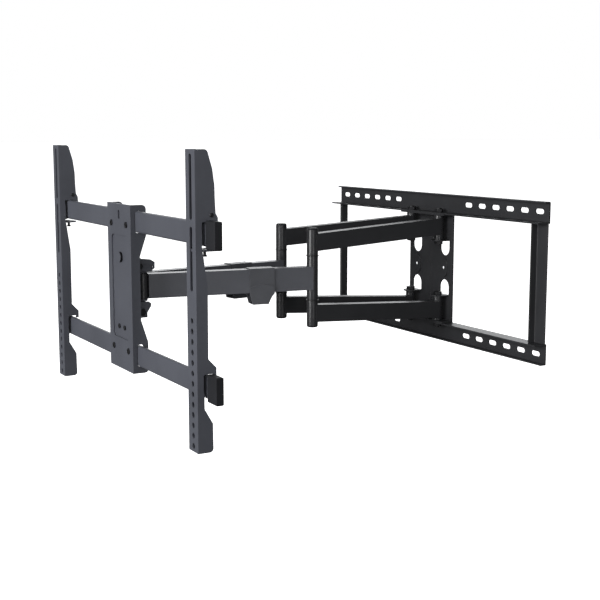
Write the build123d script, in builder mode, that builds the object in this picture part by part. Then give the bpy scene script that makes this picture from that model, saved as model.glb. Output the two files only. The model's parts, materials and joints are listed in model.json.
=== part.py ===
from build123d import *

import os
from math import atan2, degrees, hypot

# Full motion wall mount for a television: two folding arms carry a swivelling, tilting screen plate.
# X runs to the right as the viewer faces the wall, +Y runs into the wall, +Z is up.
# The origin is on the wall, at the middle of the wall frame. Lengths are in millimetres.

# ---- driving dimensions: wall frame ----
SHEET = 2.5
RAIL_HALF_LENGTH = 325.0
RAIL_INNER_Z = 100.0
RAIL_OUTER_Z = 136.0
RAIL_INNER_DEPTH = 25.5
RAIL_OUTER_DEPTH = 10.0
BEND_RADIUS = 1.5
WALL_SLOT_FIRST_X = 111.0
WALL_SLOT_PITCH = 38.0
WALL_SLOT_COUNT = 6
WALL_SLOT_Z = 119.0
WALL_SLOT_LENGTH = 21.5
WALL_SLOT_WIDTH = 8.5
RAIL_END_CORNER = 2.2
SIDE_BAR_INNER_X = 298.0
SIDE_BAR_DEPTH = 17.3
BASE_HALF_WIDTH = 68.0
BASE_SLOT_INNER_Z = 22.5
EMBOSS_X = 42.5
EMBOSS_WIDTH = 22.0
EMBOSS_HEIGHT = 36.0
EMBOSS_RISE = 2.4
EMBOSS_WALL = 1.2
EMBOSS_TAPER = 12
EMBOSS_HOLE_RADIUS = 2.3
SEAM_WIDTH = 0.8
SEAM_DEPTH = 0.5

# ---- driving dimensions: arms ----
WALL_PIVOT_X = 43.5
WALL_PIVOT_Y = -17.5
WALL_EAR_Z = 50.0
WALL_EAR_RADIUS = 13.5
ELBOW_X = 56.0
ELBOW_Y = -292.9
HUB_PIN_X = 12.0
HUB_PIN_Y = -587.5
TUBE_WALL = 2.0
TUBE_WIDTH = 20.0
REAR_TUBE_HEIGHT = 30.0
REAR_TUBE_WALL_SETBACK = 2.5
ELBOW_SETBACK = 2.0
FRONT_TUBE_HEIGHT = 40.0
FRONT_TUBE_HUB_SETBACK = 8.5
REAR_TUBE_ELBOW_Z = 61.2
REAR_TUBE_RISE = 16.0
POST_RADIUS = 9.8
POST_HALF_HEIGHT = 83.0
POST_JOINT_Z = 38.0
POST_CAP_HEIGHT = 3.0
POST_CAP_INSET = 0.3
WASHER_THICKNESS = 1.5
WASHER_OVERHANG = 1.1
KNUCKLE_RADIUS = 9.0
PIN_RADIUS = 5.0
BUSH_WALL = 1.5
RUNNING_GAP = 0.05
STACK_GAP = 0.3
NUT_RADIUS = 8.0
NUT_HEIGHT = 6.0
BOLT_STUB = 8.0

# ---- driving dimensions: cable clips, measured along the front arm from its elbow ----
CLIP_START = 73.0
CLIP_END = 117.0
CLIP_FLOOR_START = 84.0
CLIP_FLOOR_END = 112.0
CLIP_FLOOR_Z = -39.7
CLIP_WALL = 1.5
CLIP_BULGE = 1.4
CLIP_ARC_CROWN_Z = -6.0
CLIP_ARC_END_Z = -10.5

# ---- driving dimensions: hub, swivel and tilt ----
HUB_KNUCKLE_RADIUS = 10.0
HUB_KNUCKLE_HALF_HEIGHT = 21.0
HUB_PIN_RADIUS = 4.0
HUB_PLATE_RADIUS = 8.0
OPEN_PIVOT_GAP = 3.0
HUB_PLATE_THICKNESS = 3.0
KING_PIN_Y = -600.0
KING_PIN_RADIUS = 3.5
KING_BARREL_RADIUS = 6.0
KING_HEAD_RADIUS = 5.5
KING_HEAD_HEIGHT = 2.2
KING_TAIL = 3.0
YOKE_SHEET = 2.5
YOKE_HALF_WIDTH = 28.0
YOKE_FRONT_Y = -608.8
YOKE_UPPER_REAR_Y = -576.0
YOKE_LOWER_REAR_Y = -586.0
YOKE_TOP_Z = 40.0
YOKE_BOTTOM_Z = -50.0
YOKE_BRIDGE_HALF_WIDTH = 20.0
YOKE_BRIDGE_SETBACK = 1.2
TILT_PIVOT_Y = -597.0
TILT_PIVOT_Z = -40.0
TILT_LOCK_Y = -600.0
TILT_LOCK_Z = 34.5
TILT_BOLT_RADIUS = 4.0
TILT_HEAD_RADIUS = 6.5
LOCK_BOLT_RADIUS = 3.0
LOCK_HEAD_RADIUS = 5.5
CROSS_HEAD_HEIGHT = 4.0
CROSS_BOLT_STUB = 5.0
TILT_UP = 5.0
TILT_DOWN = 15.0
EAR_INNER_X = 28.5
EAR_SHEET = 2.5
EAR_FRONT_Y = -609.0
EAR_WAIST_TOP_Z = 26.4
EAR_WAIST_BOTTOM_Z = -23.8
EAR_WAIST_CORNER = 3.0
FRAME_HALF_WIDTH = 42.0
FRAME_TOP_Z = 64.0
FRAME_BOTTOM_Z = -76.0
WINDOW_TOP_Z = 42.5
WINDOW_BOTTOM_Z = -53.0
LEVEL_PIVOT_Z = 48.0
LEVEL_PIVOT_RADIUS = 6.0
LEVEL_HEAD_RADIUS = 8.5
LEVEL_HEAD_HEIGHT = 4.0
LEVEL_STUD_RADIUS = 4.0
LEVEL_NUT_HEIGHT = 3.5
LEVEL_SCREW_RADIUS = 2.0
LEVEL_SCREW_HEAD_RADIUS = 4.0
LEVEL_SCREW_HEAD_HEIGHT = 1.8
LEVEL_SCREW_X = 12.0
LEVEL_SCREW_Z = -67.0
LEVEL_SLOT_LENGTH = 19.0
LEVEL_SLOT_WIDTH = 6.2

# ---- driving dimensions: screen plate and brackets ----
PLATE_FRONT_Y = -621.5
PLATE_HALF_WIDTH = 52.0
PLATE_TOP_Z = 134.5
PLATE_BOTTOM_Z = -136.0
PLATE_FLANGE_DEEP_Y = -595.0
PLATE_FLANGE_SHALLOW_Y = -606.5
PLATE_FLANGE_CORNER = 7.0
PLATE_NOTCH_FRONT_Y = -613.9
PLATE_NOTCH_REAR_Y = -603.5
PLATE_NOTCH_OUTER_GAP = 0.1
PLATE_NOTCH_TOP_GAP = 0.6
PLATE_NOTCH_BOTTOM_GAP = 1.8
PANEL_HALF_WIDTH = 35.0
PANEL_TOP_Z = 84.0
PANEL_BOTTOM_Z = -85.0
PANEL_CORNER = 8.0
PLATE_SLOT_Z = 116.5
PLATE_SLOT_LENGTH = 15.0
PLATE_SLOT_WIDTH = 7.0
TV_RAIL_HALF_LENGTH = 342.0
TV_RAIL_FRONT_Y = -613.3
TV_RAIL_DEPTH = 9.0
TV_RAIL_WALL = 2.0
TV_RAIL_CORNER = 4.2
TV_RAIL_TOP = (90.8, 124.8)
TV_RAIL_BOTTOM = (-124.8, -90.8)
RAIL_BOLT_X = 33.0
RAIL_BOLT_Z = 102.0
RAIL_BOLT_RADIUS = 3.0
RAIL_BOLT_HEAD_RADIUS = 5.0
RAIL_BOLT_HEAD_HEIGHT = 1.6
RAIL_BOLT_SOCKET_RADIUS = 2.2
SPACER_RADIUS = 9.0
END_CAP_START_X = 319.5
END_CAP_END_X = 349.0
END_CAP_SIDE_WALL = 1.4
END_CAP_EDGE_WALL = 3.0
END_CAP_CORNER = 2.0
END_CAP_RIM = 0.8
BRACKET_X = 300.0
BRACKET_HALF_WIDTH = 16.0
BRACKET_SHEET = 2.0
BRACKET_FRONT_Y = -628.1
BRACKET_TOP_Z = 225.0
BRACKET_BOTTOM_Z = -202.0
BRACKET_CORNER = 6.0
BRACKET_HOLE_PITCH = 15.0
BRACKET_HOLE_COUNT = 13
BRACKET_HOLE_TOP_Z = -13.5
BRACKET_HOLE_RADIUS = 4.2
BRACKET_SLOT_WIDTH = 8.4
BRACKET_SLOTS = ((127.9, 219.1), (27.9, 118.7))
NOTCH_FRONT_Y = -618.5
NOTCH_GAP = 0.5
BOTTOM_NOTCH_ROOM = 2.3
LIP_LENGTH = 12.0
TAB_BACK_Y = -598.0
TAB_Z = 84.0
TAB_SHEET = 3.0
SAFETY_SCREW_Y = -607.3
SAFETY_SCREW_RADIUS = 2.2
SAFETY_FOOT_RADIUS = 3.7
SAFETY_FOOT_HEIGHT = 2.0
SAFETY_SCREW_LOW_Z = 76.0
SAFETY_SCREW_HIGH_Z = 88.0

# ---- worked out from the dimensions above ----
SIDES = {"right": 1, "left": -1}
REAR_LENGTH = hypot(ELBOW_X - WALL_PIVOT_X, ELBOW_Y - WALL_PIVOT_Y)
FRONT_LENGTH = hypot(ELBOW_X - HUB_PIN_X, ELBOW_Y - HUB_PIN_Y)
HUB_PLATE_IN_Z = HUB_KNUCKLE_HALF_HEIGHT + STACK_GAP
HUB_PLATE_OUT_Z = HUB_PLATE_IN_Z + HUB_PLATE_THICKNESS
YOKE_PLATE_IN_Z = HUB_PLATE_OUT_Z + STACK_GAP
YOKE_PLATE_OUT_Z = YOKE_PLATE_IN_Z + YOKE_SHEET
PLATE_BACK_Y = PLATE_FRONT_Y + SHEET
PANEL_BACK_Y = PLATE_BACK_Y + SHEET
LOCK_RADIUS = hypot(TILT_LOCK_Y - TILT_PIVOT_Y, TILT_LOCK_Z - TILT_PIVOT_Z)
LOCK_ANGLE = degrees(atan2(TILT_LOCK_Z - TILT_PIVOT_Z, TILT_LOCK_Y - TILT_PIVOT_Y))
FRAME_BACK_Y = PANEL_BACK_Y + EAR_SHEET
TV_RAIL_BACK_Y = TV_RAIL_FRONT_Y + TV_RAIL_DEPTH
PLATE_NOTCHES = (
    (TV_RAIL_TOP[0] - PLATE_NOTCH_TOP_GAP, TV_RAIL_TOP[1] + PLATE_NOTCH_OUTER_GAP),
    (TV_RAIL_BOTTOM[0] - PLATE_NOTCH_OUTER_GAP, TV_RAIL_BOTTOM[1] + PLATE_NOTCH_BOTTOM_GAP),
)
RAIL_BOLT_POINTS = [(x, z) for z in (RAIL_BOLT_Z, -RAIL_BOLT_Z) for x in (RAIL_BOLT_X, -RAIL_BOLT_X)]

os.makedirs("parts", exist_ok=True)


def save(context, name):
    """Label a finished piece and write it to its own STEP file."""
    context.part.label = name
    export_step(context.part, f"parts/{name}.step")


def front_plane(y):
    """A plane parallel to the wall at depth y, with its normal towards the viewer."""
    return Plane(origin=(0, y, 0), x_dir=(1, 0, 0), z_dir=(0, -1, 0))


def side_plane(x):
    """A plane across X, whose sketch axes are Y and Z."""
    return Plane(origin=(x, 0, 0), x_dir=(0, 1, 0), z_dir=(1, 0, 0))


def arm_plane(start, end):
    """An upright plane along an arm: sketch x runs from start to end, sketch y is up."""
    run = hypot(end[0] - start[0], end[1] - start[1])
    along = ((end[0] - start[0]) / run, (end[1] - start[1]) / run, 0)
    return Plane(origin=(start[0], start[1], 0), x_dir=along, z_dir=(along[1], -along[0], 0))


def arm_points(side):
    """The wall pivot, elbow and hub pivot of one arm, in plan."""
    s = SIDES[side]
    return (s * WALL_PIVOT_X, WALL_PIVOT_Y), (s * ELBOW_X, ELBOW_Y), (s * HUB_PIN_X, HUB_PIN_Y)


# ---- wall frame ----
def wall_rail(name, s):
    """A channel across the wall, with a row of slots for lag bolts on each side."""
    with BuildPart() as rail:
        with BuildSketch(side_plane(-RAIL_HALF_LENGTH)):
            with BuildLine():
                Polyline(
                    (0, s * RAIL_INNER_Z),
                    (-RAIL_INNER_DEPTH, s * RAIL_INNER_Z),
                    (-RAIL_INNER_DEPTH, s * (RAIL_INNER_Z + SHEET)),
                    (-SHEET, s * (RAIL_INNER_Z + SHEET)),
                    (-SHEET, s * (RAIL_OUTER_Z - SHEET)),
                    (-RAIL_OUTER_DEPTH, s * (RAIL_OUTER_Z - SHEET)),
                    (-RAIL_OUTER_DEPTH, s * RAIL_OUTER_Z),
                    (0, s * RAIL_OUTER_Z),
                    close=True,
                )
            make_face()
        extrude(amount=2 * RAIL_HALF_LENGTH)
        inner_corner = rail.edges().filter_by(Axis.X).filter_by(
            lambda e: abs(e.center().Y + SHEET) < 0.01
        )
        fillet(inner_corner, BEND_RADIUS)
        end_corners = rail.edges().filter_by(Axis.Y).filter_by(
            lambda e: abs(abs(e.center().Z) - RAIL_OUTER_Z) < 0.01
        )
        fillet(end_corners, RAIL_END_CORNER)
        with BuildSketch(front_plane(-SHEET)):
            for i in range(WALL_SLOT_COUNT):
                x = WALL_SLOT_FIRST_X + i * WALL_SLOT_PITCH
                with Locations((x, s * WALL_SLOT_Z), (-x, s * WALL_SLOT_Z)):
                    SlotOverall(WALL_SLOT_LENGTH, WALL_SLOT_WIDTH)
        extrude(amount=-SHEET, mode=Mode.SUBTRACT)
        bolt_xs = (WALL_PIVOT_X, -WALL_PIVOT_X)
        with BuildSketch(Plane.XY.offset(min(s * RAIL_INNER_Z, s * (RAIL_INNER_Z + SHEET)))):
            with Locations(*[(x, WALL_PIVOT_Y) for x in bolt_xs]):
                Circle(PIN_RADIUS + RUNNING_GAP)
        extrude(amount=SHEET, mode=Mode.SUBTRACT)
    save(rail, name)


wall_rail("wall_rail_top", 1)
wall_rail("wall_rail_bottom", -1)


def side_bar(side):
    """An upright angle between the two wall rails, flush with their ends."""
    s = SIDES[side]
    inner = s * SIDE_BAR_INNER_X
    outer = s * RAIL_HALF_LENGTH
    with BuildPart() as bar:
        with BuildSketch(Plane.XY.offset(-RAIL_INNER_Z)):
            with BuildLine():
                Polyline(
                    (outer, -SHEET),
                    (outer, -2 * SHEET),
                    (inner + s * SHEET, -2 * SHEET),
                    (inner + s * SHEET, -SIDE_BAR_DEPTH),
                    (inner, -SIDE_BAR_DEPTH),
                    (inner, -SHEET),
                    close=True,
                )
            make_face()
        extrude(amount=2 * RAIL_INNER_Z)
        bend = bar.edges().filter_by(Axis.Z).filter_by(
            lambda e: abs(e.center().X - inner - s * SHEET) < 0.01 and e.center().Y > -2 * SHEET - 0.01
        )
        fillet(bend, BEND_RADIUS)
    save(bar, f"side_bar_{side}")


for side in SIDES:
    side_bar(side)

with BuildPart() as base_plate:
    with BuildSketch(side_plane(-BASE_HALF_WIDTH)):
        with BuildLine():
            Polyline(
                (0, RAIL_INNER_Z),
                (-RAIL_INNER_DEPTH, RAIL_INNER_Z),
                (-RAIL_INNER_DEPTH, RAIL_INNER_Z - SHEET),
                (-SHEET, RAIL_INNER_Z - SHEET),
                (-SHEET, SHEET - RAIL_INNER_Z),
                (-RAIL_INNER_DEPTH, SHEET - RAIL_INNER_Z),
                (-RAIL_INNER_DEPTH, -RAIL_INNER_Z),
                (0, -RAIL_INNER_Z),
                close=True,
            )
        make_face()
    extrude(amount=2 * BASE_HALF_WIDTH)
    with BuildSketch(front_plane(-SHEET)):
        for s in (1, -1):
            round_end_z = s * (BASE_SLOT_INNER_Z + WALL_EAR_RADIUS)
            straight_end_z = s * WALL_EAR_Z
            with Locations((WALL_PIVOT_X, round_end_z), (-WALL_PIVOT_X, round_end_z)):
                Circle(WALL_EAR_RADIUS)
            slot_middle_z = (round_end_z + straight_end_z) / 2
            with Locations((WALL_PIVOT_X, slot_middle_z), (-WALL_PIVOT_X, slot_middle_z)):
                Rectangle(2 * WALL_EAR_RADIUS, abs(straight_end_z - round_end_z))
    extrude(amount=-SHEET, mode=Mode.SUBTRACT)
    with BuildSketch(front_plane(-SHEET)):
        with Locations((EMBOSS_X, 0), (-EMBOSS_X, 0)):
            SlotOverall(EMBOSS_HEIGHT, EMBOSS_WIDTH, rotation=90)
    extrude(amount=EMBOSS_RISE, taper=EMBOSS_TAPER)
    with BuildSketch(front_plane(0)):
        with Locations((EMBOSS_X, 0), (-EMBOSS_X, 0)):
            SlotOverall(EMBOSS_HEIGHT - 2 * EMBOSS_WALL, EMBOSS_WIDTH - 2 * EMBOSS_WALL, rotation=90)
    extrude(amount=SHEET + EMBOSS_RISE - EMBOSS_WALL, taper=EMBOSS_TAPER / 2, mode=Mode.SUBTRACT)
    with BuildSketch(front_plane(-SHEET - EMBOSS_RISE)):
        with Locations((EMBOSS_X, 0), (-EMBOSS_X, 0)):
            Circle(EMBOSS_HOLE_RADIUS)
    extrude(amount=-EMBOSS_RISE, mode=Mode.SUBTRACT)
    with BuildSketch(front_plane(-SHEET)):
        Rectangle(SEAM_WIDTH, 2 * (RAIL_INNER_Z - 2 * SHEET))
    extrude(amount=-SEAM_DEPTH, mode=Mode.SUBTRACT)
    with BuildSketch(Plane.XY.offset(-RAIL_INNER_Z)):
        with Locations((WALL_PIVOT_X, WALL_PIVOT_Y), (-WALL_PIVOT_X, WALL_PIVOT_Y)):
            Circle(PIN_RADIUS + RUNNING_GAP)
    extrude(amount=2 * RAIL_INNER_Z, mode=Mode.SUBTRACT)
save(base_plate, "base_plate")

with BuildPart() as pivot_ears:
    for z in (WALL_EAR_Z, -WALL_EAR_Z - SHEET):
        for x in (WALL_PIVOT_X, -WALL_PIVOT_X):
            left, right = x - WALL_EAR_RADIUS, x + WALL_EAR_RADIUS
            with BuildSketch(Plane.XY.offset(z)):
                with BuildLine():
                    Polyline((right, WALL_PIVOT_Y), (right, -SHEET), (left, -SHEET), (left, WALL_PIVOT_Y))
                    tip = (x, WALL_PIVOT_Y - WALL_EAR_RADIUS)
                    ThreePointArc((left, WALL_PIVOT_Y), tip, (right, WALL_PIVOT_Y))
                make_face()
                with Locations((x, WALL_PIVOT_Y)):
                    Circle(PIN_RADIUS + RUNNING_GAP, mode=Mode.SUBTRACT)
            extrude(amount=SHEET)
save(pivot_ears, "pivot_ears")

with BuildPart() as pivot_bolts:
    head_z = WALL_EAR_Z - NUT_HEIGHT
    end_z = RAIL_INNER_Z + SHEET + BOLT_STUB
    for s in (1, -1):
        for x in (WALL_PIVOT_X, -WALL_PIVOT_X):
            with BuildSketch(Plane.XY.offset(min(s * head_z, s * end_z))):
                with Locations((x, WALL_PIVOT_Y)):
                    Circle(PIN_RADIUS)
            extrude(amount=end_z - head_z)
            with BuildSketch(Plane.XY.offset(min(s * head_z, s * WALL_EAR_Z))):
                with Locations((x, WALL_PIVOT_Y)):
                    RegularPolygon(NUT_RADIUS, 6)
            extrude(amount=NUT_HEIGHT)
save(pivot_bolts, "pivot_bolts")

with BuildPart() as pivot_nuts:
    rail_face = RAIL_INNER_Z + SHEET
    for low in (rail_face, -rail_face - NUT_HEIGHT):
        for x in (WALL_PIVOT_X, -WALL_PIVOT_X):
            with BuildSketch(Plane.XY.offset(low)):
                with Locations((x, WALL_PIVOT_Y)):
                    RegularPolygon(NUT_RADIUS, 6)
                    Circle(PIN_RADIUS, mode=Mode.SUBTRACT)
            extrude(amount=NUT_HEIGHT)
save(pivot_nuts, "pivot_nuts")


# ---- rear arms ----
def rear_tube(side, level):
    """A rectangular tube from the wall pivot out to the elbow, sloping towards the middle."""
    s = 1 if level == "upper" else -1
    wall_point, elbow, _ = arm_points(side)
    start_z = s * (REAR_TUBE_ELBOW_Z + REAR_TUBE_RISE)
    end_z = s * REAR_TUBE_ELBOW_Z
    with BuildPart() as tube:
        for inset, mode in ((0, Mode.ADD), (TUBE_WALL, Mode.SUBTRACT)):
            half = REAR_TUBE_HEIGHT / 2 - inset
            with BuildSketch(arm_plane(wall_point, elbow)):
                with BuildLine():
                    Polyline(
                        (0, start_z + half),
                        (REAR_LENGTH, end_z + half),
                        (REAR_LENGTH, end_z - half),
                        (0, start_z - half),
                        close=True,
                    )
                make_face()
            extrude(amount=TUBE_WIDTH / 2 - inset, both=True, mode=mode)
        outwards = arm_plane(wall_point, elbow).x_dir
        with BuildSketch(Plane.XY.offset(-RAIL_INNER_Z)):
            with Locations(wall_point):
                Circle(KNUCKLE_RADIUS)
            with Locations(elbow):
                Circle(POST_RADIUS)
        extrude(amount=2 * RAIL_INNER_Z, mode=Mode.SUBTRACT)
        wall_end = Vector(*wall_point, 0) + outwards * REAR_TUBE_WALL_SETBACK
        split(bisect_by=Plane(origin=wall_end, x_dir=(0, 0, 1), z_dir=outwards), keep=Keep.TOP)
        elbow_end = Vector(*elbow, 0) - outwards * ELBOW_SETBACK
        split(bisect_by=Plane(origin=elbow_end, x_dir=(0, 0, 1), z_dir=-outwards), keep=Keep.TOP)
    save(tube, f"rear_tube_{level}_{side}")


def ring(outer, inner, low, centre):
    """The section of a round sleeve around an upright pin, at height low."""
    with BuildSketch(Plane.XY.offset(low)) as section:
        with Locations(centre):
            Circle(outer)
            Circle(inner, mode=Mode.SUBTRACT)
    return section.sketch


def rear_arm(side):
    """The turned pieces of one rear arm: knuckles at the wall, sleeves, pin and caps at the elbow."""
    wall_point, elbow, _ = arm_points(side)
    knuckle_low = WALL_EAR_Z + SHEET + STACK_GAP
    knuckle_high = RAIL_INNER_Z - SHEET - STACK_GAP
    with BuildPart() as knuckles:
        for low in (knuckle_low, -knuckle_high):
            section = ring(KNUCKLE_RADIUS, PIN_RADIUS + BUSH_WALL, low, wall_point)
            extrude(section, amount=knuckle_high - knuckle_low)
    save(knuckles, f"wall_knuckles_{side}")
    with BuildPart() as bushes:
        for low in (knuckle_low, -knuckle_high):
            section = ring(PIN_RADIUS + BUSH_WALL, PIN_RADIUS + RUNNING_GAP, low, wall_point)
            extrude(section, amount=knuckle_high - knuckle_low)
    save(bushes, f"wall_bushes_{side}")
    with BuildPart() as sleeves:
        low = POST_JOINT_Z + WASHER_THICKNESS
        for z in (low, -POST_HALF_HEIGHT):
            extrude(ring(POST_RADIUS, PIN_RADIUS, z, elbow), amount=POST_HALF_HEIGHT - low)
    save(sleeves, f"elbow_sleeves_{side}")
    with BuildPart() as pin:
        with BuildSketch(Plane.XY.offset(-POST_HALF_HEIGHT)):
            with Locations(elbow):
                Circle(PIN_RADIUS)
        extrude(amount=2 * POST_HALF_HEIGHT)
    save(pin, f"elbow_pin_{side}")
    with BuildPart() as washers:
        for z in (POST_JOINT_Z, -POST_JOINT_Z - WASHER_THICKNESS):
            extrude(ring(POST_RADIUS + WASHER_OVERHANG, PIN_RADIUS, z, elbow), amount=WASHER_THICKNESS)
    save(washers, f"elbow_washers_{side}")
    with BuildPart() as caps:
        for z in (POST_HALF_HEIGHT, -POST_HALF_HEIGHT - POST_CAP_HEIGHT):
            with BuildSketch(Plane.XY.offset(z)):
                with Locations(elbow):
                    Circle(POST_RADIUS - POST_CAP_INSET)
            extrude(amount=POST_CAP_HEIGHT)
        rims = caps.edges().group_by(Axis.Z)[-1] + caps.edges().group_by(Axis.Z)[0]
        fillet(rims, 0.9 * POST_CAP_HEIGHT)
    save(caps, f"elbow_caps_{side}")


for side in SIDES:
    rear_tube(side, "upper")
    rear_tube(side, "lower")
    rear_arm(side)


# ---- front arms ----
def front_arm(side):
    """One front arm: a level tube with its elbow barrel, hub knuckle and cable clip."""
    _, elbow, hub = arm_points(side)
    along = arm_plane(elbow, hub)
    half = FRONT_TUBE_HEIGHT / 2
    hub_bore = HUB_PIN_RADIUS + (RUNNING_GAP if side == "right" else OPEN_PIVOT_GAP)
    with BuildPart() as tube:
        for inset, mode in ((0, Mode.ADD), (TUBE_WALL, Mode.SUBTRACT)):
            with BuildSketch(along):
                with Locations((FRONT_LENGTH / 2, 0)):
                    Rectangle(FRONT_LENGTH, FRONT_TUBE_HEIGHT - 2 * inset)
            extrude(amount=TUBE_WIDTH / 2 - inset, both=True, mode=mode)
        with BuildSketch(Plane.XY.offset(-half)):
            with Locations(elbow):
                Circle(POST_RADIUS)
            with Locations(hub):
                Circle(HUB_KNUCKLE_RADIUS)
        extrude(amount=2 * half, mode=Mode.SUBTRACT)
        elbow_end = Vector(*elbow, 0) + along.x_dir * ELBOW_SETBACK
        split(bisect_by=Plane(origin=elbow_end, x_dir=(0, 0, 1), z_dir=along.x_dir), keep=Keep.TOP)
        hub_end = Vector(*hub, 0) - along.x_dir * FRONT_TUBE_HUB_SETBACK
        split(bisect_by=Plane(origin=hub_end, x_dir=(0, 0, 1), z_dir=-along.x_dir), keep=Keep.TOP)
    save(tube, f"front_tube_{side}")
    top = POST_JOINT_Z - STACK_GAP
    with BuildPart() as sleeve:
        extrude(ring(POST_RADIUS, PIN_RADIUS + BUSH_WALL, -top, elbow), amount=2 * top)
    save(sleeve, f"elbow_barrel_{side}")
    with BuildPart() as bush:
        extrude(ring(PIN_RADIUS + BUSH_WALL, PIN_RADIUS + RUNNING_GAP, -top, elbow), amount=2 * top)
    save(bush, f"elbow_bush_{side}")
    with BuildPart() as knuckle:
        section = ring(HUB_KNUCKLE_RADIUS, hub_bore, -HUB_KNUCKLE_HALF_HEIGHT, hub)
        extrude(section, amount=2 * HUB_KNUCKLE_HALF_HEIGHT)
    save(knuckle, f"hub_knuckle_{side}")
    with BuildPart() as clip:
        with BuildSketch(along) as outline:
            with BuildLine():
                Polyline(
                    (CLIP_START, -half - CLIP_WALL),
                    (CLIP_START, half + CLIP_WALL),
                    (CLIP_END, half + CLIP_WALL),
                    (CLIP_END, -half - CLIP_WALL),
                    (CLIP_FLOOR_END, CLIP_FLOOR_Z),
                    (CLIP_FLOOR_START, CLIP_FLOOR_Z),
                )
                hollow_x = CLIP_START + 0.62 * (CLIP_FLOOR_START - CLIP_START)
                hollow_z = (CLIP_FLOOR_Z - half - CLIP_WALL) / 2
                ThreePointArc(
                    (CLIP_FLOOR_START, CLIP_FLOOR_Z),
                    (hollow_x, hollow_z),
                    (CLIP_START, -half - CLIP_WALL),
                )
            make_face()
        extrude(amount=TUBE_WIDTH / 2 + CLIP_WALL, both=True)
        with BuildSketch(along):
            with BuildLine():
                Line((CLIP_START, CLIP_ARC_END_Z), (CLIP_START, CLIP_FLOOR_Z))
                Line((CLIP_START, CLIP_FLOOR_Z), (CLIP_END, CLIP_FLOOR_Z))
                Line((CLIP_END, CLIP_FLOOR_Z), (CLIP_END, CLIP_ARC_END_Z))
                ThreePointArc(
                    (CLIP_END, CLIP_ARC_END_Z),
                    ((CLIP_START + CLIP_END) / 2, CLIP_ARC_CROWN_Z),
                    (CLIP_START, CLIP_ARC_END_Z),
                )
            make_face()
            add(outline.sketch_local, mode=Mode.INTERSECT)
        extrude(amount=TUBE_WIDTH / 2 + CLIP_WALL + CLIP_BULGE, both=True)
        cavity_low = CLIP_FLOOR_Z + CLIP_WALL
        with BuildSketch(along):
            with Locations(((CLIP_START + CLIP_END) / 2, (half + cavity_low) / 2)):
                Rectangle(2 * (CLIP_END - CLIP_START), half - cavity_low)
        extrude(amount=TUBE_WIDTH / 2, both=True, mode=Mode.SUBTRACT)
    save(clip, f"cable_clip_{side}")


for side in SIDES:
    front_arm(side)

# ---- hub: carries both front arms on two upright pins, and turns the head on a king pin ----
with BuildPart() as hub_bracket:
    for low in (HUB_PLATE_IN_Z, -HUB_PLATE_OUT_Z):
        with BuildSketch(Plane.XY.offset(low)) as outline:
            with Locations((HUB_PIN_X, HUB_PIN_Y), (-HUB_PIN_X, HUB_PIN_Y)):
                Circle(HUB_PLATE_RADIUS)
            with Locations((0, KING_PIN_Y)):
                Circle(KING_BARREL_RADIUS)
            make_hull()
            with Locations((HUB_PIN_X, HUB_PIN_Y), (-HUB_PIN_X, HUB_PIN_Y)):
                Circle(HUB_PIN_RADIUS, mode=Mode.SUBTRACT)
        extrude(amount=HUB_PLATE_THICKNESS)
    with BuildSketch(Plane.XY.offset(-HUB_PLATE_IN_Z)):
        with Locations((0, KING_PIN_Y)):
            Circle(KING_BARREL_RADIUS)
    extrude(amount=2 * HUB_PLATE_IN_Z)
    with BuildSketch(Plane.XY.offset(-HUB_PLATE_OUT_Z)):
        with Locations((0, KING_PIN_Y)):
            Circle(KING_PIN_RADIUS + RUNNING_GAP)
    extrude(amount=2 * HUB_PLATE_OUT_Z, mode=Mode.SUBTRACT)
save(hub_bracket, "hub_bracket")

with BuildPart() as hub_pins:
    with BuildSketch(Plane.XY.offset(-HUB_PLATE_OUT_Z)):
        with Locations((HUB_PIN_X, HUB_PIN_Y), (-HUB_PIN_X, HUB_PIN_Y)):
            Circle(HUB_PIN_RADIUS)
    extrude(amount=2 * HUB_PLATE_OUT_Z)
save(hub_pins, "hub_pins")


# ---- swivel head: a yoke on the king pin ----
def yoke_cheek(low_z, high_z, rear_y):
    """The side outline of the upper or lower half of the yoke."""
    with BuildSketch(side_plane(-YOKE_HALF_WIDTH)) as outline:
        with Locations(((YOKE_FRONT_Y + rear_y) / 2, (low_z + high_z) / 2)):
            Rectangle(rear_y - YOKE_FRONT_Y, high_z - low_z)
    return outline.sketch


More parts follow.
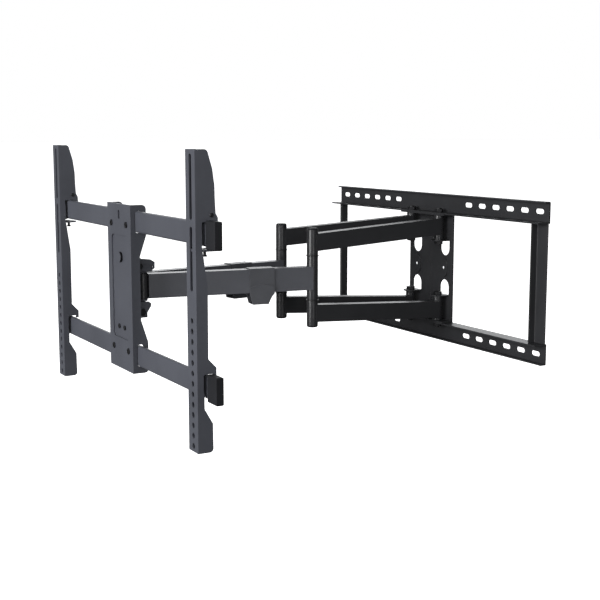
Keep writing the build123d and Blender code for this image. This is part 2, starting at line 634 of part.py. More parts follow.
with BuildPart() as swivel_yoke:
    extrude(yoke_cheek(YOKE_PLATE_IN_Z, YOKE_TOP_Z, YOKE_UPPER_REAR_Y), amount=2 * YOKE_HALF_WIDTH)
    extrude(yoke_cheek(YOKE_BOTTOM_Z, -YOKE_PLATE_IN_Z, YOKE_LOWER_REAR_Y), amount=2 * YOKE_HALF_WIDTH)
    inside_front = YOKE_FRONT_Y + YOKE_SHEET
    for low, high in ((YOKE_BOTTOM_Z, -YOKE_PLATE_OUT_Z), (YOKE_PLATE_OUT_Z, YOKE_TOP_Z)):
        with BuildSketch(Plane.XY.offset(low)):
            with Locations((0, (inside_front + YOKE_UPPER_REAR_Y) / 2)):
                Rectangle(2 * (YOKE_HALF_WIDTH - YOKE_SHEET), YOKE_UPPER_REAR_Y - inside_front)
        extrude(amount=high - low, mode=Mode.SUBTRACT)
    with BuildSketch(Plane.XY.offset(-YOKE_PLATE_OUT_Z)):
        with Locations((0, YOKE_FRONT_Y - YOKE_BRIDGE_SETBACK + YOKE_SHEET / 2)):
            Rectangle(2 * YOKE_BRIDGE_HALF_WIDTH, YOKE_SHEET)
    extrude(amount=2 * YOKE_PLATE_OUT_Z)
    with BuildSketch(Plane.XY.offset(-YOKE_PLATE_OUT_Z)):
        with Locations((0, KING_PIN_Y)):
            Circle(KING_PIN_RADIUS)
    extrude(amount=2 * YOKE_PLATE_OUT_Z, mode=Mode.SUBTRACT)
    with BuildSketch(side_plane(-YOKE_HALF_WIDTH)):
        with Locations((TILT_PIVOT_Y, TILT_PIVOT_Z)):
            Circle(TILT_BOLT_RADIUS)
        with Locations((TILT_LOCK_Y, TILT_LOCK_Z)):
            Circle(LOCK_BOLT_RADIUS)
    extrude(amount=2 * YOKE_HALF_WIDTH, mode=Mode.SUBTRACT)
save(swivel_yoke, "swivel_yoke")

with BuildPart() as king_pin:
    with BuildSketch(Plane.XY.offset(-YOKE_PLATE_OUT_Z - KING_TAIL)):
        with Locations((0, KING_PIN_Y)):
            Circle(KING_PIN_RADIUS)
    extrude(amount=2 * YOKE_PLATE_OUT_Z + KING_TAIL)
    with BuildSketch(Plane.XY.offset(YOKE_PLATE_OUT_Z)):
        with Locations((0, KING_PIN_Y)):
            RegularPolygon(KING_HEAD_RADIUS, 6)
    extrude(amount=KING_HEAD_HEIGHT)
save(king_pin, "king_pin")


def cross_bolt(y, z, name, radius, head_radius):
    """A bolt across the head, with a hexagon head on the right and a nut on the left."""
    shank_end = EAR_INNER_X + EAR_SHEET + STACK_GAP
    with BuildPart() as bolt:
        with BuildSketch(side_plane(-shank_end - CROSS_BOLT_STUB)):
            with Locations((y, z)):
                Circle(radius)
        extrude(amount=2 * shank_end + CROSS_BOLT_STUB)
        with BuildSketch(side_plane(shank_end)):
            with Locations((y, z)):
                RegularPolygon(head_radius, 6)
        extrude(amount=CROSS_HEAD_HEIGHT)
    save(bolt, name)
    with BuildPart() as nut:
        with BuildSketch(side_plane(-shank_end - CROSS_HEAD_HEIGHT)):
            with Locations((y, z)):
                RegularPolygon(head_radius, 6)
                Circle(radius, mode=Mode.SUBTRACT)
        extrude(amount=CROSS_HEAD_HEIGHT)
    save(nut, name.replace("bolt", "nut"))


cross_bolt(TILT_PIVOT_Y, TILT_PIVOT_Z, "tilt_pivot_bolt", TILT_BOLT_RADIUS, TILT_HEAD_RADIUS)
cross_bolt(TILT_LOCK_Y, TILT_LOCK_Z, "tilt_lock_bolt", LOCK_BOLT_RADIUS, LOCK_HEAD_RADIUS)

# ---- tilt frame: a plate with two ears that swing on the tilt pivot bolt ----
with BuildPart() as tilt_frame:
    window_z = (WINDOW_TOP_Z + WINDOW_BOTTOM_Z) / 2
    with BuildSketch(front_plane(FRAME_BACK_Y)):
        with Locations((0, (FRAME_TOP_Z + FRAME_BOTTOM_Z) / 2)):
            RectangleRounded(2 * FRAME_HALF_WIDTH, FRAME_TOP_Z - FRAME_BOTTOM_Z, 6)
        with Locations((0, window_z)):
            Rectangle(2 * EAR_INNER_X, WINDOW_TOP_Z - WINDOW_BOTTOM_Z, mode=Mode.SUBTRACT)
        with Locations((0, LEVEL_PIVOT_Z)):
            Circle(LEVEL_STUD_RADIUS, mode=Mode.SUBTRACT)
        with Locations((LEVEL_SCREW_X, LEVEL_SCREW_Z), (-LEVEL_SCREW_X, LEVEL_SCREW_Z)):
            SlotOverall(LEVEL_SLOT_LENGTH, LEVEL_SLOT_WIDTH, mode=Mode.SUBTRACT)
    extrude(amount=EAR_SHEET)
    for x in (EAR_INNER_X, -EAR_INNER_X - EAR_SHEET):
        with BuildSketch(side_plane(x)):
            with BuildLine():
                Polyline(
                    (FRAME_BACK_Y, 46.5),
                    (-592.0, 46.3),
                    (-580.0, 44.6),
                    (-573.0, 40.0),
                    (-573.3, 30.0),
                    (-579.8, EAR_WAIST_TOP_Z),
                    (EAR_FRONT_Y + EAR_WAIST_CORNER, EAR_WAIST_TOP_Z),
                    (EAR_FRONT_Y, EAR_WAIST_TOP_Z - EAR_WAIST_CORNER),
                    (EAR_FRONT_Y, EAR_WAIST_BOTTOM_Z + EAR_WAIST_CORNER),
                    (EAR_FRONT_Y + EAR_WAIST_CORNER, EAR_WAIST_BOTTOM_Z),
                    (-584.0, EAR_WAIST_BOTTOM_Z),
                    (-580.3, -26.8),
                    (-580.8, -31.7),
                    (-587.8, -42.7),
                    (-590.5, -47.4),
                    (-599.2, -50.0),
                    (FRAME_BACK_Y, -52.0),
                    close=True,
                )
            make_face()
        extrude(amount=EAR_SHEET)
    with BuildSketch(side_plane(-EAR_INNER_X - EAR_SHEET)):
        with Locations((TILT_PIVOT_Y, TILT_PIVOT_Z)):
            Circle(TILT_BOLT_RADIUS + RUNNING_GAP)
        with BuildLine():
            tilt_pivot = (TILT_PIVOT_Y, TILT_PIVOT_Z)
            CenterArc(tilt_pivot, LOCK_RADIUS, LOCK_ANGLE - TILT_DOWN - 1, TILT_DOWN + TILT_UP + 2)
            offset(amount=LOCK_BOLT_RADIUS + 0.3)
        make_face()
    extrude(amount=2 * (EAR_INNER_X + EAR_SHEET), mode=Mode.SUBTRACT)
save(tilt_frame, "tilt_frame")

with BuildPart() as level_pivot:
    with BuildSketch(front_plane(PANEL_BACK_Y)):
        with Locations((0, LEVEL_PIVOT_Z)):
            Circle(LEVEL_PIVOT_RADIUS)
    extrude(amount=SHEET + STACK_GAP)
    with BuildSketch(front_plane(PLATE_BACK_Y - STACK_GAP)):
        with Locations((0, LEVEL_PIVOT_Z)):
            Circle(LEVEL_HEAD_RADIUS)
    extrude(amount=LEVEL_HEAD_HEIGHT - STACK_GAP)
    with BuildSketch(front_plane(FRAME_BACK_Y + LEVEL_NUT_HEIGHT + 1)):
        with Locations((0, LEVEL_PIVOT_Z)):
            Circle(LEVEL_STUD_RADIUS)
    extrude(amount=LEVEL_NUT_HEIGHT + 1 + EAR_SHEET)
    with BuildSketch(front_plane(FRAME_BACK_Y + LEVEL_NUT_HEIGHT)):
        with Locations((0, LEVEL_PIVOT_Z)):
            RegularPolygon(LEVEL_STUD_RADIUS + 2.5, 6)
    extrude(amount=LEVEL_NUT_HEIGHT)
save(level_pivot, "level_pivot")


# ---- screen plate ----
def plate_flange(x):
    """The outline of a folded side of the centre plate: deep at the rails, shallow at the hub."""
    deep, shallow = PLATE_FLANGE_DEEP_Y, PLATE_FLANGE_SHALLOW_Y
    with BuildSketch(side_plane(x)) as outline:
        with BuildLine():
            Polyline(
                (PLATE_BACK_Y, PLATE_TOP_Z),
                (deep, PLATE_TOP_Z),
                (deep, 86.5),
                (shallow, 52.5),
                (shallow, -50.0),
                (deep, -86.0),
                (deep, PLATE_BOTTOM_Z),
                (PLATE_BACK_Y, PLATE_BOTTOM_Z),
                close=True,
            )
        make_face()
        for z in (PLATE_TOP_Z, PLATE_BOTTOM_Z):
            corner = outline.vertices().sort_by_distance((deep, z, 0))[0]
            fillet(corner, PLATE_FLANGE_CORNER)
        for bottom, top in PLATE_NOTCHES:
            with Locations(((PLATE_NOTCH_FRONT_Y + PLATE_NOTCH_REAR_Y) / 2, (bottom + top) / 2)):
                RectangleRounded(
                    PLATE_NOTCH_REAR_Y - PLATE_NOTCH_FRONT_Y,
                    top - bottom,
                    TV_RAIL_CORNER,
                    mode=Mode.SUBTRACT,
                )
    return outline.sketch


with BuildPart() as centre_plate:
    middle_z = (PLATE_TOP_Z + PLATE_BOTTOM_Z) / 2
    with BuildSketch(front_plane(PLATE_BACK_Y)):
        with Locations((0, middle_z)):
            Rectangle(2 * PLATE_HALF_WIDTH, PLATE_TOP_Z - PLATE_BOTTOM_Z)
    extrude(amount=SHEET)
    extrude(plate_flange(PLATE_HALF_WIDTH - SHEET), amount=SHEET)
    extrude(plate_flange(-PLATE_HALF_WIDTH), amount=SHEET)
    panel_z = (PANEL_TOP_Z + PANEL_BOTTOM_Z) / 2
    panel_height = PANEL_TOP_Z - PANEL_BOTTOM_Z
    with BuildSketch(front_plane(PANEL_BACK_Y)):
        with Locations((0, panel_z)):
            wide, tall = 2 * (PANEL_HALF_WIDTH + SHEET), panel_height + 2 * SHEET
            RectangleRounded(wide, tall, PANEL_CORNER + SHEET)
    extrude(amount=SHEET)
    with BuildSketch(front_plane(PLATE_FRONT_Y)):
        with Locations((0, panel_z)):
            RectangleRounded(2 * PANEL_HALF_WIDTH, panel_height, PANEL_CORNER)
    extrude(amount=-SHEET, mode=Mode.SUBTRACT)
    with BuildSketch(front_plane(PLATE_FRONT_Y)):
        with Locations((0, PLATE_SLOT_Z)):
            SlotOverall(PLATE_SLOT_LENGTH, PLATE_SLOT_WIDTH, rotation=90)
        with Locations((0, LEVEL_PIVOT_Z)):
            Circle(LEVEL_PIVOT_RADIUS + RUNNING_GAP)
        with Locations((LEVEL_SCREW_X, LEVEL_SCREW_Z), (-LEVEL_SCREW_X, LEVEL_SCREW_Z)):
            Circle(LEVEL_SCREW_RADIUS)
        with Locations(*RAIL_BOLT_POINTS):
            Circle(RAIL_BOLT_RADIUS)
    extrude(amount=-2 * SHEET, mode=Mode.SUBTRACT)
save(centre_plate, "centre_plate")

with BuildPart() as level_screws:
    for x in (LEVEL_SCREW_X, -LEVEL_SCREW_X):
        with BuildSketch(front_plane(FRAME_BACK_Y + 2)):
            with Locations((x, LEVEL_SCREW_Z)):
                Circle(LEVEL_SCREW_RADIUS)
        extrude(amount=2 + EAR_SHEET + SHEET)
        with BuildSketch(front_plane(PLATE_BACK_Y)):
            with Locations((x, LEVEL_SCREW_Z)):
                Circle(LEVEL_SCREW_HEAD_RADIUS)
                RegularPolygon(LEVEL_SCREW_HEAD_RADIUS / 2.5, 6, mode=Mode.SUBTRACT)
        extrude(amount=LEVEL_SCREW_HEAD_HEIGHT)
save(level_screws, "level_screws")


def tv_rail(name, low, high):
    """A flat box-section rail that crosses the back of the screen."""
    middle = (TV_RAIL_FRONT_Y + TV_RAIL_DEPTH / 2, (low + high) / 2)
    with BuildPart() as rail:
        with BuildSketch(side_plane(-TV_RAIL_HALF_LENGTH)):
            with Locations(middle):
                RectangleRounded(TV_RAIL_DEPTH, high - low, TV_RAIL_CORNER)
                RectangleRounded(
                    TV_RAIL_DEPTH - 2 * TV_RAIL_WALL,
                    high - low - 2 * TV_RAIL_WALL,
                    TV_RAIL_CORNER - TV_RAIL_WALL,
                    mode=Mode.SUBTRACT,
                )
        extrude(amount=2 * TV_RAIL_HALF_LENGTH)
        with BuildSketch(front_plane(TV_RAIL_FRONT_Y)):
            with Locations(*RAIL_BOLT_POINTS):
                Circle(RAIL_BOLT_RADIUS)
        extrude(amount=-TV_RAIL_WALL, mode=Mode.SUBTRACT)
    save(rail, name)


tv_rail("tv_rail_top", *TV_RAIL_TOP)
tv_rail("tv_rail_bottom", *TV_RAIL_BOTTOM)


def end_caps(name, low, high, side):
    """A moulded cap that slips over the end of a rail."""
    s = SIDES[side]
    middle = (TV_RAIL_FRONT_Y + TV_RAIL_DEPTH / 2, (low + high) / 2)
    start = min(s * END_CAP_START_X, s * END_CAP_END_X)
    depth = TV_RAIL_DEPTH + 2 * END_CAP_SIDE_WALL
    height = high - low + 2 * END_CAP_EDGE_WALL
    with BuildPart() as cap:
        with BuildSketch(side_plane(start)):
            with Locations(middle):
                RectangleRounded(depth, height, END_CAP_CORNER)
        extrude(amount=END_CAP_END_X - END_CAP_START_X)
        outer_end = cap.faces().sort_by(Axis.X)[-1 if s > 0 else 0]
        fillet(outer_end.edges(), END_CAP_RIM)
        with BuildSketch(side_plane(start if s > 0 else -TV_RAIL_HALF_LENGTH)):
            with Locations(middle):
                RectangleRounded(TV_RAIL_DEPTH, high - low, TV_RAIL_CORNER)
        extrude(amount=TV_RAIL_HALF_LENGTH - END_CAP_START_X, mode=Mode.SUBTRACT)
    save(cap, name)


for side in SIDES:
    end_caps(f"end_cap_top_{side}", *TV_RAIL_TOP, side)
    end_caps(f"end_cap_bottom_{side}", *TV_RAIL_BOTTOM, side)

with BuildPart() as rail_spacers:
    with BuildSketch(front_plane(TV_RAIL_FRONT_Y)):
        with Locations(*RAIL_BOLT_POINTS):
            Circle(SPACER_RADIUS)
            Circle(RAIL_BOLT_RADIUS, mode=Mode.SUBTRACT)
    extrude(amount=TV_RAIL_FRONT_Y - PLATE_BACK_Y)
save(rail_spacers, "rail_spacers")

with BuildPart() as rail_bolts:
    with BuildSketch(front_plane(TV_RAIL_FRONT_Y + TV_RAIL_WALL)):
        with Locations(*RAIL_BOLT_POINTS):
            Circle(RAIL_BOLT_RADIUS)
    extrude(amount=TV_RAIL_FRONT_Y + TV_RAIL_WALL - PLATE_FRONT_Y)
    with BuildSketch(front_plane(PLATE_FRONT_Y)):
        with Locations(*RAIL_BOLT_POINTS):
            Circle(RAIL_BOLT_HEAD_RADIUS)
    extrude(amount=RAIL_BOLT_HEAD_HEIGHT)
    with BuildSketch(front_plane(PLATE_FRONT_Y - RAIL_BOLT_HEAD_HEIGHT)):
        with Locations(*RAIL_BOLT_POINTS):
            RegularPolygon(RAIL_BOLT_SOCKET_RADIUS, 6)
    extrude(amount=-RAIL_BOLT_HEAD_HEIGHT, mode=Mode.SUBTRACT)
save(rail_bolts, "rail_bolts")


# ---- screen brackets ----
def bracket_flange(x):
    """The outline of a folded side of a screen bracket, notched to hook over the two rails."""
    hook = TV_RAIL_BACK_Y + NOTCH_GAP
    front = BRACKET_FRONT_Y + BRACKET_SHEET / 2
    top_high = TV_RAIL_TOP[1] + NOTCH_GAP
    bottom_high = TV_RAIL_BOTTOM[1] + BOTTOM_NOTCH_ROOM
    top_back = (-609.5, BRACKET_TOP_Z)
    bottom_back = (-604.2, BRACKET_BOTTOM_Z)
    with BuildSketch(side_plane(x)) as outline:
        with BuildLine():
            Polyline(
                (front, BRACKET_TOP_Z),
                top_back,
                (-601.7, 198.4),
                (-598.6, 175.0),
                (-598.3, 157.0),
                (-597.2, 137.0),
                (-593.9, 131.0),
                (-593.6, top_high - LIP_LENGTH),
                (hook, top_high - LIP_LENGTH),
                (hook, top_high),
                (NOTCH_FRONT_Y, top_high),
                (NOTCH_FRONT_Y, TV_RAIL_TOP[0] - 3),
                (-616.3, 75.7),
                (-614.8, 64.4),
                (-610.5, 35.0),
                (-610.8, -67.0),
                (-598.5, -80.0),
                (-598.5, -92.6),
                (hook, -92.6),
                (hook, bottom_high),
                (NOTCH_FRONT_Y, bottom_high),
                (NOTCH_FRONT_Y, -113.0),
                (-617.4, -117.0),
                (-617.4, -138.0),
                (-604.8, -160.0),
                bottom_back,
                (front, BRACKET_BOTTOM_Z),
                close=True,
            )
        make_face()
        for y, z in (top_back, bottom_back):
            corner = outline.vertices().sort_by_distance((y, z, 0))[0]
            fillet(corner, BRACKET_CORNER)
    return outline.sketch


def tv_bracket(side):
    """An upright folded channel that is screwed to the back of the screen and hooks over the rails."""
    x = SIDES[side] * BRACKET_X
    web_back = BRACKET_FRONT_Y + BRACKET_SHEET
    with BuildPart() as bracket:
        with BuildSketch(front_plane(web_back)):
            with Locations((x, (BRACKET_TOP_Z + BRACKET_BOTTOM_Z) / 2)):
                Rectangle(2 * BRACKET_HALF_WIDTH, BRACKET_TOP_Z - BRACKET_BOTTOM_Z)
            for low, high in BRACKET_SLOTS:
                with Locations((x, (low + high) / 2)):
                    SlotOverall(high - low, BRACKET_SLOT_WIDTH, rotation=90, mode=Mode.SUBTRACT)
            for i in range(BRACKET_HOLE_COUNT):
                with Locations((x, BRACKET_HOLE_TOP_Z - i * BRACKET_HOLE_PITCH)):
                    Circle(BRACKET_HOLE_RADIUS, mode=Mode.SUBTRACT)
        extrude(amount=BRACKET_SHEET)
        extrude(bracket_flange(x - BRACKET_HALF_WIDTH), amount=BRACKET_SHEET)
        extrude(bracket_flange(x + BRACKET_HALF_WIDTH - BRACKET_SHEET), amount=BRACKET_SHEET)
        with BuildSketch(Plane.XY.offset(TAB_Z)):
            with Locations((x, (web_back + TAB_BACK_Y) / 2)):
                Rectangle(2 * (BRACKET_HALF_WIDTH - BRACKET_SHEET), TAB_BACK_Y - web_back)
            with Locations((x, SAFETY_SCREW_Y)):
                Circle(SAFETY_SCREW_RADIUS + RUNNING_GAP, mode=Mode.SUBTRACT)
        extrude(amount=TAB_SHEET)
    save(bracket, f"tv_bracket_{side}")
    with BuildPart() as screw:
        with BuildSketch(Plane.XY.offset(SAFETY_SCREW_LOW_Z)):
            with Locations((x, SAFETY_SCREW_Y)):
                Circle(SAFETY_FOOT_RADIUS)
        extrude(amount=SAFETY_FOOT_HEIGHT)
        with BuildSketch(Plane.XY.offset(SAFETY_SCREW_LOW_Z)):
            with Locations((x, SAFETY_SCREW_Y)):
                Circle(SAFETY_SCREW_RADIUS)
        extrude(amount=SAFETY_SCREW_HIGH_Z - SAFETY_SCREW_LOW_Z)
    save(screw, f"safety_screw_{side}")


for side in SIDES:
    tv_bracket(side)
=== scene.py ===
import json
from math import cos, pi, radians, sin

import bmesh
import bpy
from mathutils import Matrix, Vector


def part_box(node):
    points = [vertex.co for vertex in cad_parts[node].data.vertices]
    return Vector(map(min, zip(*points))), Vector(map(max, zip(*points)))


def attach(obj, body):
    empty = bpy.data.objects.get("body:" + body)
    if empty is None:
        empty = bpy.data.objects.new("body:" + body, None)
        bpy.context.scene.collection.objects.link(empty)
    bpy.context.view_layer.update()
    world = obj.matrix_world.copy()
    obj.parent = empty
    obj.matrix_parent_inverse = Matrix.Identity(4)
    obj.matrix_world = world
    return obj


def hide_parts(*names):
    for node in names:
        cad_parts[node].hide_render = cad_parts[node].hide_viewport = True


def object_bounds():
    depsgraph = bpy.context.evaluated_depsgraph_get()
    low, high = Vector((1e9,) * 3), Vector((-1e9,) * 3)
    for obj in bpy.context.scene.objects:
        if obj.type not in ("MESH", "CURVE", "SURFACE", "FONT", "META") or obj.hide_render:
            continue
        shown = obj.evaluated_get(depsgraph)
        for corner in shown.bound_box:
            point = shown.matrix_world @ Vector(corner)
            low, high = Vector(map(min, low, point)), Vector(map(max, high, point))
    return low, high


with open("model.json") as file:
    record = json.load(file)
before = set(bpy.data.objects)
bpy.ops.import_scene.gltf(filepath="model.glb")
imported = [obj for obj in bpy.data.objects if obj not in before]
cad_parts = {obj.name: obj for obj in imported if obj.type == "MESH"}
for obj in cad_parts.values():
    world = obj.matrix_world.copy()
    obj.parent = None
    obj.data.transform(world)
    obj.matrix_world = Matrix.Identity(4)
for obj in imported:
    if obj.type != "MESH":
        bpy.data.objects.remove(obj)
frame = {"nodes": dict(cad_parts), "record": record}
CAD_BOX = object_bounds()
NODES = frame["nodes"]
NODE_SLOT = {part["node"]: part["material_slot"] for part in frame["record"]["subparts"]}
NODE_BODY = {
    node: body
    for body, nodes in frame["record"]["behaviour"]["bodies"].items()
    for node in nodes
}

# ---- how the object is looked at ----
CAMERA_PLACE = (1.7499, -1.2705, 0.2468)
CAMERA_AZIMUTH = radians(60.634)
CAMERA_ELEVATION = radians(8.312)
CAMERA_LENS = 68.61
CAMERA_SENSOR = 36
CAMERA_REACH = 100

# ---- the floor ----
FLOOR_DROP = 0.12
FLOOR_REACH = 60
FLOOR_ROUGHNESS = 0.9

# ---- light: name, place, target, size, power ----
LIGHTS = [
    ("key_softbox", (0.85, -4.9, 0.9), (0, -0.5, 0), (2.6, 2.6), 390),
    ("side_softbox", (2.6, -2.0, 0.9), (0, -0.45, 0), (1.4, 1.4), 27),
    ("post_strip", (2.6, -0.6, 0.6), (0, -0.3, 0), (0.25, 2.2), 11),
]
BRIGHT_WALL = (-0.845, 0.475, 0.245)
BRIGHT_WALL_EDGE = 0.8
BRIGHT_WALL_LEVEL = 3.2
ROOM_LEVEL = 0.17
ROOM_COLOUR = (0.97, 0.985, 1, 1)
WHITE = (1, 1, 1, 1)

# ---- surface grain: noise cells to the metre, and bump heights in metres ----
PAINT_DRIFT = 14
PAINT_PEEL = 900
PAINT_PEEL_HEIGHT = 0.00012
PAINT_SPECK = 3800
PAINT_SPECK_HEIGHT = 0.00004
MOULD_DRIFT = 20
MOULD_GRAIN = 1500
MOULD_GRAIN_HEIGHT = 0.00012
OXIDE_GRAIN = 1200
OXIDE_GRAIN_HEIGHT = 0.00006
OXIDE_METALLIC = 0.6
# the part of a noise's range that carries the change in shade, and in gloss
SHADE_RANGE = (0.35, 0.65)
GLOSS_RANGE = (0.3, 0.7)

# ---- easing of sharp edges, in metres, by material slot ----
EDGE = {
    "frame_powder": 0.0006,
    "arm_powder": 0.0014,
    "plate_powder": 0.0006,
    "post_powder": 0.0004,
    "moulded_plastic": 0.0008,
    "clip_plastic": 0.0012,
    "bush_nylon": 0.0002,
    "dark_fastener": 0.0004,
}
SOFT_EDGES = {"tv_rail_top": 0.0022, "tv_rail_bottom": 0.0022}
EDGE_SEGMENTS = 2
SHARP_ANGLE = radians(40)
FLAT_ANGLE = radians(0.5)
SAME_POINT = 1e-6
FLAT_FACE_WEIGHT = 100

# ---- pins through the hooks of the screen brackets ----
HOOK_PIN_Y = -0.6035
HOOK_PIN_Z = 0.1345
HOOK_PIN_RADIUS = 0.0032
HOOK_PIN_HEIGHT = 0.0016
PIN_HEAD_SINK = 0.0002
PIN_HEAD_STEPS = 28
# reach and rise of the head's outline, as parts of its radius and height, from rim to dimple
PIN_HEAD_OUTLINE = [
    (1.0, 0.0),
    (1.0, 0.35),
    (0.93, 0.6),
    (0.78, 0.84),
    (0.56, 1.0),
    (0.42, 1.0),
    (0.34, 0.6),
]

# a face of the levelling pivot whose normal is this close to straight ahead counts as its front;
# every other face gets the black painted shade
FACING_FRONT = 0.9


# ---------------------------------------------------------------- materials
def material(name):
    """A new node material, with its node tree and its shader."""
    made = bpy.data.materials.new(name)
    made.use_nodes = True
    tree = made.node_tree
    shader = tree.nodes["Principled BSDF"]
    return made, tree, shader


def coordinates(tree):
    """The object's own coordinates, in metres."""
    return tree.nodes.new("ShaderNodeTexCoord").outputs["Object"]


def noise(tree, where, scale, detail=2.0, roughness=0.5):
    """A noise of that many cells to the metre."""
    node = tree.nodes.new("ShaderNodeTexNoise")
    node.inputs["Scale"].default_value = scale
    node.inputs["Detail"].default_value = detail
    node.inputs["Roughness"].default_value = roughness
    tree.links.new(where, node.inputs["Vector"])
    return node.outputs["Fac"]


def spread(tree, value, low, high, low_out, high_out):
    """value, taken from low to high, and given as low_out to high_out."""
    node = tree.nodes.new("ShaderNodeMapRange")
    tree.links.new(value, node.inputs["Value"])
    node.inputs["From Min"].default_value = low
    node.inputs["From Max"].default_value = high
    node.inputs["To Min"].default_value = low_out
    node.inputs["To Max"].default_value = high_out
    return node.outputs["Result"]


def mixed(tree, factor, dark, light):
    """A colour between dark and light."""
    node = tree.nodes.new("ShaderNodeMix")
    node.data_type = "RGBA"
    tree.links.new(factor, node.inputs["Factor"])
    node.inputs["A"].default_value = (*dark, 1)
    node.inputs["B"].default_value = (*light, 1)
    return node.outputs["Result"]


def bump(tree, shader, heights):
    """Bump from several (height, strength, distance) layers, one on another."""
    normal = None
    for height, strength, distance in heights:
        node = tree.nodes.new("ShaderNodeBump")
        node.inputs["Strength"].default_value = strength
        node.inputs["Distance"].default_value = distance
        tree.links.new(height, node.inputs["Height"])
        if normal is not None:
            tree.links.new(normal, node.inputs["Normal"])
        normal = node.outputs["Normal"]
    tree.links.new(normal, shader.inputs["Normal"])


def powder_coat(name, dark, light, roughness, gleam):
    """Baked powder paint: a fine orange peel, with a slow drift in shade and gloss."""
    made, tree, shader = material(name)
    where = coordinates(tree)
    drift = noise(tree, where, PAINT_DRIFT, 3)
    peel = noise(tree, where, PAINT_PEEL, 2)
    speck = noise(tree, where, PAINT_SPECK, 1)
    shade = mixed(tree, spread(tree, drift, *SHADE_RANGE, 0, 1), dark, light)
    tree.links.new(shade, shader.inputs["Base Color"])
    gloss = spread(tree, peel, *GLOSS_RANGE, roughness - 0.05, roughness + 0.06)
    tree.links.new(gloss, shader.inputs["Roughness"])
    shader.inputs["Specular IOR Level"].default_value = gleam
    bump(tree, shader, [(peel, 0.25, PAINT_PEEL_HEIGHT), (speck, 0.15, PAINT_SPECK_HEIGHT)])
    return made


def moulded(name, dark, light, roughness, gleam):
    """Moulded plastic with a spark-eroded grain."""
    made, tree, shader = material(name)
    where = coordinates(tree)
    grain = noise(tree, where, MOULD_GRAIN, 3, 0.6)
    drift = noise(tree, where, MOULD_DRIFT, 2)
    shade = mixed(tree, spread(tree, drift, *SHADE_RANGE, 0, 1), dark, light)
    tree.links.new(shade, shader.inputs["Base Color"])
    gloss = spread(tree, grain, *GLOSS_RANGE, roughness - 0.05, roughness + 0.08)
    tree.links.new(gloss, shader.inputs["Roughness"])
    shader.inputs["Specular IOR Level"].default_value = gleam
    bump(tree, shader, [(grain, 0.3, MOULD_GRAIN_HEIGHT)])
    return made


def oxide(name, dark, light, roughness):
    """Black oxide on a steel fastener, slightly uneven in shade and gloss."""
    made, tree, shader = material(name)
    where = coordinates(tree)
    fine = noise(tree, where, OXIDE_GRAIN, 2)
    shade = mixed(tree, fine, dark, light)
    tree.links.new(shade, shader.inputs["Base Color"])
    gloss = spread(tree, fine, *GLOSS_RANGE, roughness - 0.06, roughness + 0.08)
    tree.links.new(gloss, shader.inputs["Roughness"])
    shader.inputs["Metallic"].default_value = OXIDE_METALLIC
    bump(tree, shader, [(fine, 0.2, OXIDE_GRAIN_HEIGHT)])
    return made


# by material slot: name, darkest and lightest shade, roughness, and gleam where it has one
MATERIALS = {
    # the frame paint is darker than the arm and plate paint: partly the frame's own darker finish,
    # partly painted shade standing for the dimmer light on the wall frame and on the rear arm tubes,
    # which carry the same real paint as the front arms
    "frame_powder": powder_coat(
        "frame_powder_coat_with_painted_shade", (0.0165, 0.0168, 0.0183), (0.0205, 0.0209, 0.0229), 0.46, 0.25
    ),
    "arm_powder": powder_coat(
        "arm_powder_coat", (0.0600, 0.0622, 0.0715), (0.0680, 0.0705, 0.0810), 0.42, 0.4
    ),
    "plate_powder": powder_coat(
        "plate_powder_coat", (0.0430, 0.0455, 0.0555), (0.0510, 0.0540, 0.0655), 0.45, 0.5
    ),
    "post_powder": powder_coat(
        "post_powder_coat", (0.0120, 0.0122, 0.0135), (0.0160, 0.0163, 0.0180), 0.28, 0.5
    ),
    "clip_plastic": moulded(
        "charcoal_plastic", (0.0520, 0.0538, 0.0605), (0.0600, 0.0620, 0.0700), 0.45, 0.4
    ),
    "moulded_plastic": moulded(
        "black_plastic", (0.0110, 0.0113, 0.0128), (0.0140, 0.0144, 0.0163), 0.55, 0.08
    ),
    "bush_nylon": moulded(
        "black_nylon", (0.0080, 0.0080, 0.0085), (0.0120, 0.0120, 0.0125), 0.45, 0.3
    ),
    "dark_fastener": oxide(
        "black_oxide", (0.0060, 0.0060, 0.0070), (0.0150, 0.0150, 0.0170), 0.4
    ),
}


# ---------------------------------------------------------------- meshes
def eased(node, width):
    """A copy of a CAD node with its sharp edges eased by that width, shown in its place."""
    mesh = bpy.data.meshes.new(f"{node}_eased")
    work = bmesh.new()
    work.from_mesh(NODES[node].data)
    bmesh.ops.remove_doubles(work, verts=work.verts, dist=SAME_POINT)
    bmesh.ops.dissolve_limit(work, angle_limit=FLAT_ANGLE, verts=work.verts, edges=work.edges)
    work.to_mesh(mesh)
    work.free()
    piece = bpy.data.objects.new(f"{node}_finished", mesh)
    bpy.context.scene.collection.objects.link(piece)
    for polygon in mesh.polygons:
        polygon.use_smooth = True
    bevel = piece.modifiers.new("eased edges", "BEVEL")
    bevel.width = width
    bevel.segments = EDGE_SEGMENTS
    bevel.limit_method = "ANGLE"
    bevel.angle_limit = SHARP_ANGLE
    bevel.use_clamp_overlap = True
    flat = piece.modifiers.new("flat faces", "WEIGHTED_NORMAL")
    flat.weight = FLAT_FACE_WEIGHT
    flat.keep_sharp = True
    mesh.materials.clear()
    mesh.materials.append(MATERIALS[NODE_SLOT[node]])
    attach(piece, NODE_BODY[node])
    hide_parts(node)
    return piece


def paint_shade_on_pivot_sides(piece):
    """The head's side faces given black as painted shade, its flat front left in the plate's own
    colour.
    """
    piece.data.materials.append(MATERIALS["dark_fastener"])
    for polygon in piece.data.polygons:
        if polygon.normal.y > -FACING_FRONT:
            polygon.material_index = 1


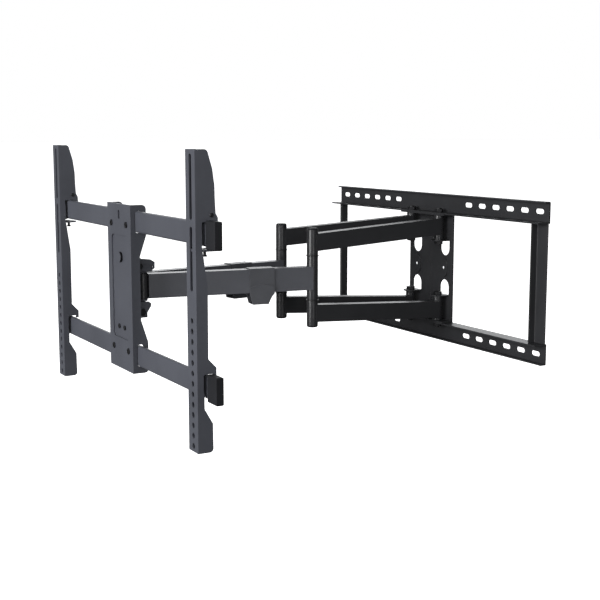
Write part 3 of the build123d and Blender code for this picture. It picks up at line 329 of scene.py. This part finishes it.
def pin_head(name, place, axis, body):
    """A domed pin head with a shallow dimple, standing on a face at place and pointing along axis."""
    turn = Vector(axis).to_track_quat("Z", "Y")
    rings = []
    work = bmesh.new()
    for reach_part, rise_part in PIN_HEAD_OUTLINE:
        reach = reach_part * HOOK_PIN_RADIUS
        rise = rise_part * HOOK_PIN_HEIGHT
        ring = []
        for i in range(PIN_HEAD_STEPS):
            angle = 2 * pi * i / PIN_HEAD_STEPS
            spot = turn @ Vector((reach * cos(angle), reach * sin(angle), rise))
            ring.append(work.verts.new(Vector(place) + spot))
        rings.append(ring)
    for lower, upper in zip(rings, rings[1:]):
        for i in range(PIN_HEAD_STEPS):
            j = (i + 1) % PIN_HEAD_STEPS
            work.faces.new((lower[i], lower[j], upper[j], upper[i]))
    work.faces.new(rings[-1])
    work.faces.new(list(reversed(rings[0])))
    mesh = bpy.data.meshes.new(name)
    work.to_mesh(mesh)
    work.free()
    for polygon in mesh.polygons:
        polygon.use_smooth = len(polygon.vertices) == 4
    piece = bpy.data.objects.new(name, mesh)
    bpy.context.scene.collection.objects.link(piece)
    mesh.materials.append(MATERIALS["dark_fastener"])
    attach(piece, body)


finished = {name: eased(name, SOFT_EDGES.get(name, EDGE[NODE_SLOT[name]])) for name in NODES}
# painted shade: the levelling pivot's side faces are turned black
paint_shade_on_pivot_sides(finished["level_pivot"])

for side in ("right", "left"):
    low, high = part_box(f"tv_bracket_{side}")
    for end, face, out in (("inner", low[0], -1), ("outer", high[0], 1)):
        pin_head(
            f"hook_pin_{side}_{end}",
            (face - out * PIN_HEAD_SINK, HOOK_PIN_Y, HOOK_PIN_Z),
            (out, 0, 0),
            f"tv_bracket_{side}",
        )


# ---------------------------------------------------------------- stage
def area_light(name, place, target, size, power):
    """A soft rectangular light aimed at a point, which the camera itself doesn't see."""
    data = bpy.data.lights.new(name, "AREA")
    data.shape = "RECTANGLE"
    data.size, data.size_y = size
    data.energy = power
    light = bpy.data.objects.new(name, data)
    bpy.context.scene.collection.objects.link(light)
    light.location = place
    aim = Vector(target) - Vector(place)
    light.rotation_euler = aim.to_track_quat("-Z", "Y").to_euler()
    light.visible_camera = False


def white_floor():
    """A pale floor well below the object, which throws no light back up at it."""
    reach = FLOOR_REACH
    height = CAD_BOX[0][2] - FLOOR_DROP
    corners = [(-reach, -reach), (reach, -reach), (reach, reach), (-reach, reach)]
    mesh = bpy.data.meshes.new("floor")
    mesh.from_pydata([(x, y, height) for x, y in corners], [], [(0, 1, 2, 3)])
    floor = bpy.data.objects.new("floor", mesh)
    bpy.context.scene.collection.objects.link(floor)
    made, tree, shader = material("pale_floor")
    where = coordinates(tree)
    shade = mixed(tree, noise(tree, where, 3), (0.93, 0.93, 0.93), (0.96, 0.96, 0.96))
    tree.links.new(shade, shader.inputs["Base Color"])
    shader.inputs["Roughness"].default_value = FLOOR_ROUGHNESS
    shader.inputs["Emission Color"].default_value = WHITE
    shader.inputs["Emission Strength"].default_value = 1.0
    mesh.materials.append(made)
    floor.visible_diffuse = False
    floor.visible_glossy = False


def surround():
    """A white backdrop, and for the light a dim room with one bright wall beyond the object."""
    world = bpy.data.worlds.new("surround")
    world.use_nodes = True
    bpy.context.scene.world = world
    tree = world.node_tree
    seen = tree.nodes["Background"]
    seen.inputs["Color"].default_value = WHITE
    seen.inputs["Strength"].default_value = 1.0
    direction = tree.nodes.new("ShaderNodeTexCoord").outputs["Generated"]
    facing = tree.nodes.new("ShaderNodeVectorMath")
    facing.operation = "DOT_PRODUCT"
    tree.links.new(direction, facing.inputs[0])
    facing.inputs[1].default_value = BRIGHT_WALL
    towards_wall = facing.outputs["Value"]
    glow = spread(tree, towards_wall, BRIGHT_WALL_EDGE, 1, ROOM_LEVEL, BRIGHT_WALL_LEVEL)
    room = tree.nodes.new("ShaderNodeBackground")
    room.inputs["Color"].default_value = ROOM_COLOUR
    tree.links.new(glow, room.inputs["Strength"])
    path = tree.nodes.new("ShaderNodeLightPath")
    either = tree.nodes.new("ShaderNodeMixShader")
    tree.links.new(path.outputs["Is Camera Ray"], either.inputs["Fac"])
    tree.links.new(room.outputs["Background"], either.inputs[1])
    tree.links.new(seen.outputs["Background"], either.inputs[2])
    tree.links.new(either.outputs["Shader"], tree.nodes["World Output"].inputs["Surface"])


def set_camera():
    """The camera, to the right of the screen and a little above its middle."""
    data = bpy.data.cameras.new("camera")
    data.lens = CAMERA_LENS
    data.sensor_width = CAMERA_SENSOR
    data.clip_end = CAMERA_REACH
    camera = bpy.data.objects.new("camera", data)
    bpy.context.scene.collection.objects.link(camera)
    camera.location = CAMERA_PLACE
    level = cos(CAMERA_ELEVATION)
    look = Vector((
        -sin(CAMERA_AZIMUTH) * level,
        cos(CAMERA_AZIMUTH) * level,
        -sin(CAMERA_ELEVATION),
    ))
    camera.rotation_euler = look.to_track_quat("-Z", "Y").to_euler()
    bpy.context.scene.camera = camera


white_floor()
surround()
for light in LIGHTS:
    area_light(*light)
set_camera()
bpy.context.scene.view_settings.view_transform = "Standard"
